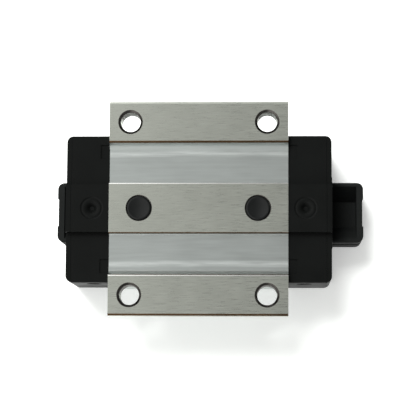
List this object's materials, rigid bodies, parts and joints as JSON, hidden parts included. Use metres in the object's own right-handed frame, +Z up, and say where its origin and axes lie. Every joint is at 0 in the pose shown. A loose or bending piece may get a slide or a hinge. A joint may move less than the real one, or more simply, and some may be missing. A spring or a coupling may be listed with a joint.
{
  "type": "linear guide carriage",
  "caption": "Flanged recirculating-ball linear guide carriage with black end caps and seals, sitting on a channel-shaped plastic transport arbor.",
  "frame": {"origin": "centre of the top mounting face", "axes": "+X along the rail, +Y across towards the left flange, +Z up out of the mounting face"},
  "size_m": [0.0682, 0.047, 0.0199],
  "materials": {
    "ground_steel": "ground and drawn, fine lines along X",
    "hardened_steel": "ground raceways",
    "ball_steel": "polished",
    "black_oxide_steel": "black oxide",
    "cap_plastic": "moulded, fine grain",
    "plug_plastic": "moulded, smooth",
    "arbor_plastic": "moulded, semi-matte",
    "guide_plastic": "natural acetal",
    "seal_rubber": "matte",
    "oiled_felt": "felt soaked in oil"
  },
  "bodies": {
    "carriage": {"carriage_body": "ground_steel", "bearing_plate_left": "hardened_steel", "ball_retainer_left": "guide_plastic", "side_seal_left": "seal_rubber", "return_tube_upper_left": "guide_plastic", "ball_chain_upper_left": "ball_steel", "return_tube_lower_left": "guide_plastic", "ball_chain_lower_left": "ball_steel", "bearing_plate_right": "hardened_steel", "ball_retainer_right": "guide_plastic", "side_seal_right": "seal_rubber", "return_tube_upper_right": "guide_plastic", "ball_chain_upper_right": "ball_steel", "return_tube_lower_right": "guide_plastic", "ball_chain_lower_right": "ball_steel", "end_cap_front": "cap_plastic", "cover_plate_front": "cap_plastic", "end_seal_front": "seal_rubber", "end_port_screw_front": "black_oxide_steel", "return_guide_front_left": "guide_plastic", "lube_insert_front_left": "oiled_felt", "side_port_screw_front_left": "black_oxide_steel", "cap_screw_front_upper_left": "black_oxide_steel", "cap_screw_front_lower_left": "black_oxide_steel", "return_guide_front_right": "guide_plastic", "lube_insert_front_right": "oiled_felt", "side_port_screw_front_right": "black_oxide_steel", "cap_screw_front_upper_right": "black_oxide_steel", "cap_screw_front_lower_right": "black_oxide_steel", "end_cap_rear": "cap_plastic", "cover_plate_rear": "cap_plastic", "end_seal_rear": "seal_rubber", "end_port_screw_rear": "black_oxide_steel", "return_guide_rear_left": "guide_plastic", "lube_insert_rear_left": "oiled_felt", "side_port_screw_rear_left": "black_oxide_steel", "cap_screw_rear_upper_left": "black_oxide_steel", "cap_screw_rear_lower_left": "black_oxide_steel", "return_guide_rear_right": "guide_plastic", "lube_insert_rear_right": "oiled_felt", "side_port_screw_rear_right": "black_oxide_steel", "cap_screw_rear_upper_right": "black_oxide_steel", "cap_screw_rear_lower_right": "black_oxide_steel"},
    "arbor": {"transport_arbor": "arbor_plastic"},
    "plug_front": {"centre_plug_front": "plug_plastic"},
    "plug_rear": {"centre_plug_rear": "plug_plastic"}
  },
  "joints": [
    {"name": "arbor_slide", "type": "slide", "parent": "carriage", "child": "arbor", "axis": [1, 0, 0], "range_m": [-0.066, 0.062]},
    {"name": "plug_front_pull", "type": "slide", "parent": "carriage", "child": "plug_front", "axis": [0, 0, 1], "range_m": [0, 0.006]},
    {"name": "plug_rear_pull", "type": "slide", "parent": "carriage", "child": "plug_rear", "axis": [0, 0, 1], "range_m": [0, 0.006]}
  ]
}
